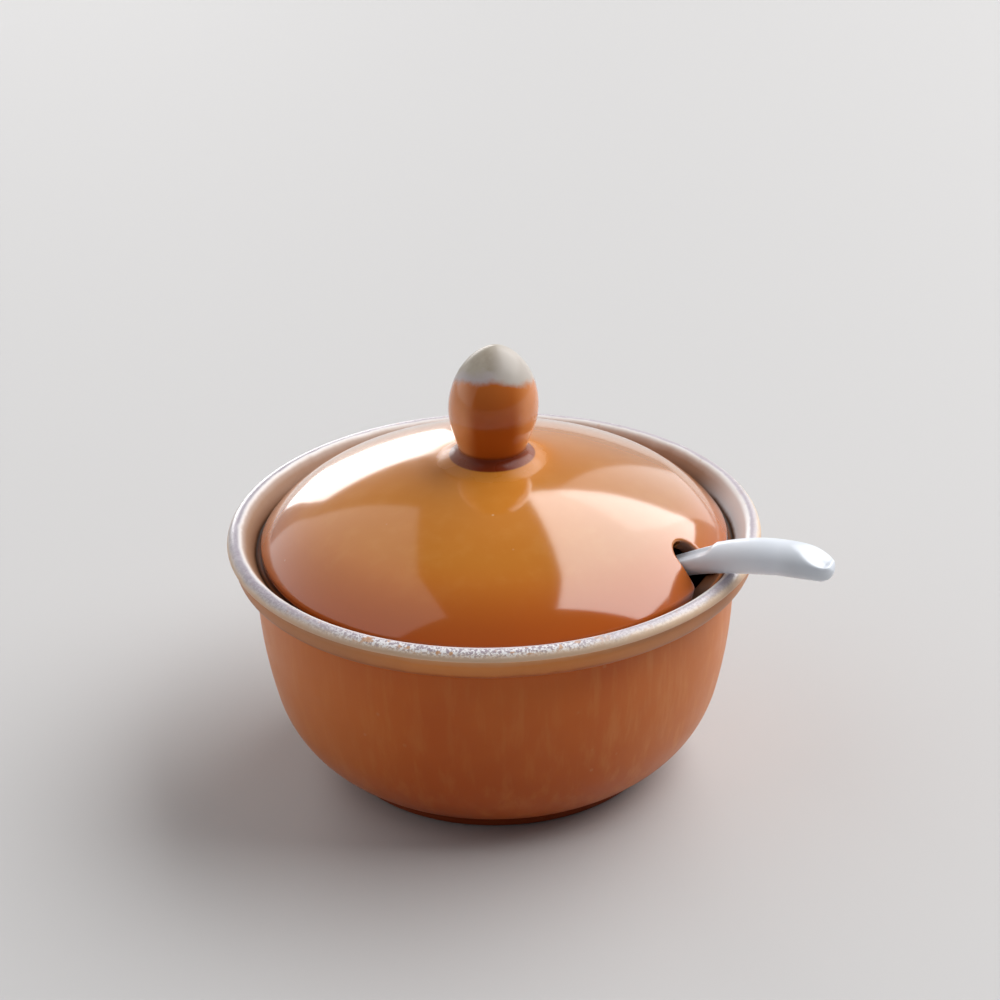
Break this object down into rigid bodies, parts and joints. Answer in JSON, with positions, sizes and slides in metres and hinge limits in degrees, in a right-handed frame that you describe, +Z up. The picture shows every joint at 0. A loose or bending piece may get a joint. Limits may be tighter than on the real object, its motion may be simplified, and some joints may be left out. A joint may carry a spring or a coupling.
{
  "type": "ceramic spice jar with lid and spoon",
  "caption": "Small glazed ceramic pot with a rolled rim, a domed lid with an acorn knob and a notch, and a small porcelain spoon whose handle comes out through the notch.",
  "frame": {"origin": "on the jar's axis, on the plane the foot ring stands on", "axes": "+Z up along the jar's axis, -Y towards the front, +X to the right; the spoon's handle points to +X, turned 28 degrees towards the front"},
  "size_m": [0.1104, 0.1, 0.0838],
  "materials": {
    "pot_glaze": "satin brown glaze that breaks to lavender grey on the rim",
    "lid_glaze": "clear glossy amber glaze with a grey cap on the knob",
    "spoon_porcelain": "glossy white"
  },
  "bodies": {
    "root": {"pot": "pot_glaze", "lid": "lid_glaze", "spoon": "spoon_porcelain"}
  },
  "joints": []
}
